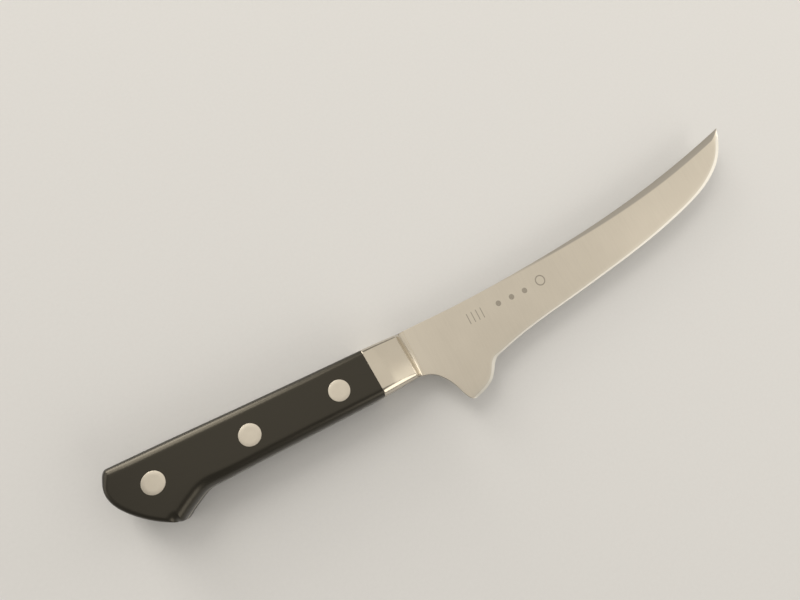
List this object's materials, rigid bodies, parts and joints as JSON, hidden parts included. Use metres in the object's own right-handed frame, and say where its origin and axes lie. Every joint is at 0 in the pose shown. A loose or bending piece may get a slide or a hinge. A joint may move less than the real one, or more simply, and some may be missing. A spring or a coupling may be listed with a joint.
{
  "type": "boning knife",
  "caption": "Boning knife with a swept-up narrow blade, a deep rounded heel, a steel bolster and a riveted full-tang handle with a hooked butt.",
  "frame": {"origin": "on the outer flat of the left handle scale, on the axis of the middle rivet; the knife lies on this face", "axes": "+X from the butt to the point, +Y towards the spine, +Z square to the blade, towards its right face"},
  "size_m": [0.2778, 0.054, 0.017],
  "materials": {
    "core_steel": "fine ground, bright edge bevel",
    "cladding_steel": "satin, ground across the blade",
    "bolster_steel": "fine satin, nearly polished",
    "scale_laminate": "black pressed wood laminate, satin",
    "rivet_steel": "ground flush with the scales, satin"
  },
  "bodies": {
    "root": {"blade_core": "core_steel", "blade_cladding_right": "cladding_steel", "blade_cladding_left": "cladding_steel", "bolster_right": "bolster_steel", "bolster_left": "bolster_steel", "handle_scale_right": "scale_laminate", "handle_scale_left": "scale_laminate", "rear_rivet_barrel": "rivet_steel", "rear_rivet_pin": "rivet_steel", "middle_rivet_barrel": "rivet_steel", "middle_rivet_pin": "rivet_steel", "front_rivet_barrel": "rivet_steel", "front_rivet_pin": "rivet_steel"}
  },
  "joints": []
}
